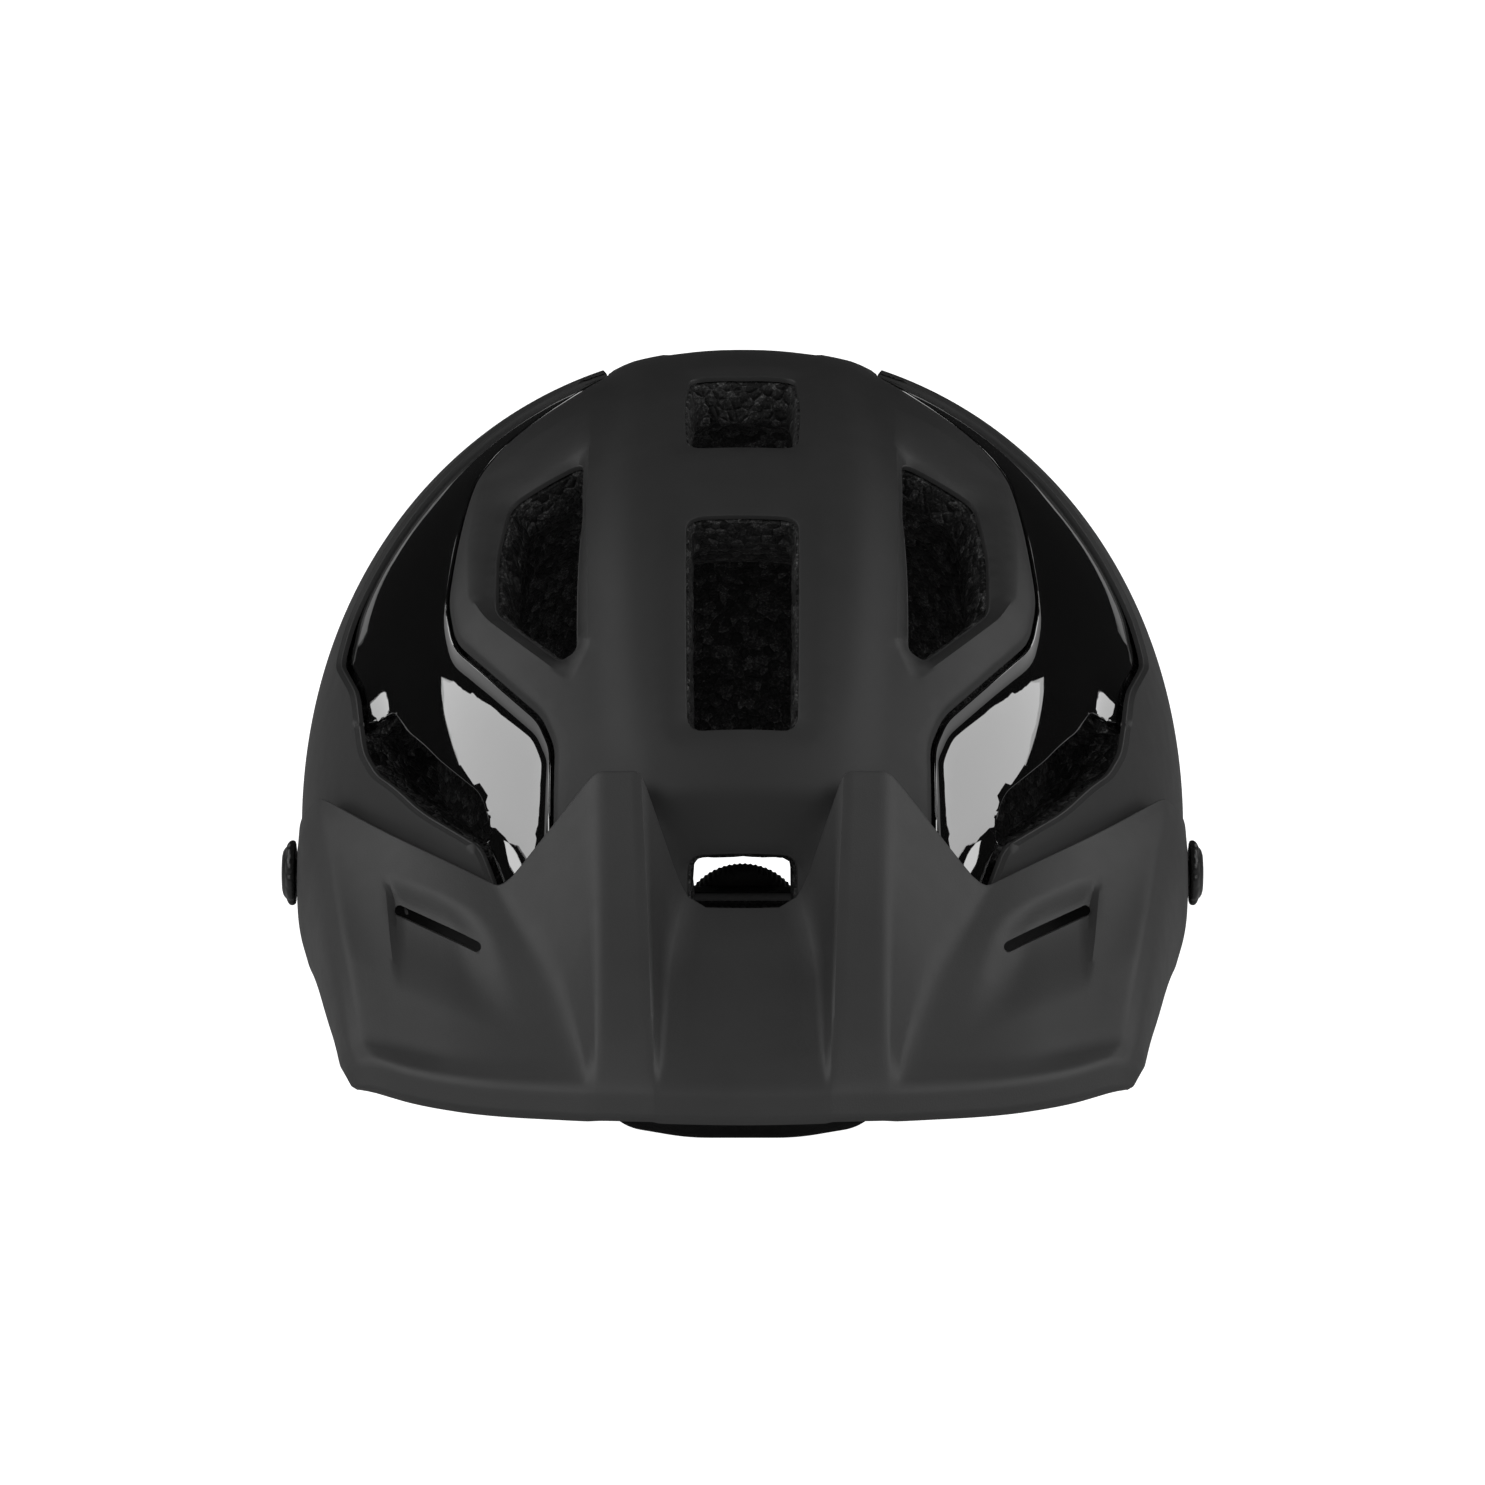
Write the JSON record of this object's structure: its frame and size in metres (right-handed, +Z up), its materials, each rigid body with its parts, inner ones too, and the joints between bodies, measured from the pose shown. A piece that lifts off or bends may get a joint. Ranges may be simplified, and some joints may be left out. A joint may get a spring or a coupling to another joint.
{
  "type": "cycling helmet",
  "caption": "Trail-riding bicycle helmet with a ribbed tilting visor, gloss side inserts, vents, rear dial fit system and chin strap with a sliding buckle.",
  "frame": {"origin": "centre of the wearer's head at ear level, inside the helmet", "axes": "+Z up through the crown, -Y forward, +X to the wearer's left"},
  "size_m": [0.2152, 0.3473, 0.2226],
  "materials": {
    "shell": "matte black polycarbonate, very fine texture",
    "gloss": "polished black polycarbonate",
    "foam": "black expanded polystyrene with visible beads",
    "pad": "brushed wicking cloth over foam",
    "webbing": "woven polyester webbing",
    "nylon": "moulded nylon, satin",
    "hardware": "moulded acetal, fine satin",
    "rubber": "soft-touch rubber",
    "insert": "turned, plain"
  },
  "bodies": {
    "helmet": {"foam_liner": "foam", "crown_shell": "shell", "gloss_insert_left": "gloss", "gloss_insert_right": "gloss", "lower_shell": "shell", "visor_insert_left": "insert", "visor_insert_right": "insert", "detent_ring_left": "hardware", "detent_ring_right": "hardware", "crown_pad_left": "pad", "crown_pad_right": "pad", "side_pad_left": "pad", "side_pad_right": "pad", "hanger_guide_left": "nylon", "hanger_guide_right": "nylon", "strap_anchor_front_left": "nylon", "strap_anchor_front_right": "nylon", "strap_anchor_rear_left": "nylon", "strap_anchor_rear_right": "nylon", "strap_front_left": "webbing", "strap_front_right": "webbing", "strap_rear_left": "webbing", "strap_rear_right": "webbing", "strap_divider_left": "nylon", "strap_divider_right": "nylon", "hook_patch_brow_left": "webbing", "hook_patch_brow_right": "webbing", "hook_patch_side_left": "webbing", "hook_patch_side_right": "webbing", "hook_patch_crown_front_left": "webbing", "hook_patch_crown_front_right": "webbing", "hook_patch_crown_rear_left": "webbing", "hook_patch_crown_rear_right": "webbing", "brow_pad": "pad"},
    "visor": {"visor": "shell"},
    "visor_screw_left": {"visor_screw_left": "hardware"},
    "visor_screw_right": {"visor_screw_right": "hardware"},
    "yoke": {"temple_plug_left": "nylon", "temple_plug_right": "nylon", "chin_strap_long": "webbing", "chin_strap_tail": "webbing", "strap_keeper": "rubber", "buckle_base": "hardware"},
    "arm_left": {"fit_arm_left": "nylon"},
    "arm_right": {"fit_arm_right": "nylon"},
    "cradle": {"nape_cradle": "nylon", "dial_housing": "nylon", "hanger_left": "nylon", "hanger_right": "nylon", "nape_pad_left": "pad", "nape_pad_right": "pad"},
    "dial": {"fit_dial": "rubber", "dial_pinion": "nylon"},
    "buckle_tongue": {"buckle_tongue": "hardware", "chin_strap_short": "webbing"}
  },
  "joints": [
    {"name": "visor_tilt", "type": "hinge", "parent": "helmet", "child": "visor", "pos_m": [0, -0.048, 0.0548], "axis": [-1, 0, 0], "range_deg": [0, 15]},
    {"name": "visor_screw_left_turn", "type": "hinge", "parent": "helmet", "child": "visor_screw_left", "pos_m": [0.1, -0.048, 0.0548], "axis": [1, 0, 0], "range_deg": [0, 270]},
    {"name": "visor_screw_right_turn", "type": "hinge", "parent": "helmet", "child": "visor_screw_right", "pos_m": [-0.1, -0.048, 0.0548], "axis": [-1, 0, 0], "range_deg": [0, 270]},
    {"name": "yoke_height", "type": "hinge", "parent": "helmet", "child": "yoke", "pos_m": [0, -0.042, 0.052], "axis": [1, 0, 0], "range_deg": [-7, 0]},
    {"name": "cradle_slide", "type": "slide", "parent": "yoke", "child": "cradle", "axis": [0, -1, 0], "range_m": [0, 0.0045]},
    {"name": "dial_turn", "type": "hinge", "parent": "cradle", "child": "dial", "pos_m": [0, 0.1, -0.0105], "axis": [0, -1, 0], "range_deg": [0, 115]},
    {"name": "arm_left_swing", "type": "hinge", "parent": "yoke", "child": "arm_left", "pos_m": [0.0668, -0.042, 0.052], "axis": [0, 0, 1], "range_deg": [0, 3.7]},
    {"name": "arm_right_swing", "type": "hinge", "parent": "yoke", "child": "arm_right", "pos_m": [-0.0668, -0.042, 0.052], "axis": [0, 0, -1], "range_deg": [0, 3.7]},
    {"name": "buckle_slide", "type": "slide", "parent": "yoke", "child": "buckle_tongue", "axis": [0.2035, -0.2035, -0.9577], "range_m": [0, 0.014]}
  ],
  "couplings": [
    {"joint": "cradle_slide", "follows": "dial_turn", "m_per_rad": 0.0022},
    {"joint": "arm_left_swing", "follows": "dial_turn", "ratio": 0.03147},
    {"joint": "arm_right_swing", "follows": "dial_turn", "ratio": 0.03147}
  ]
}
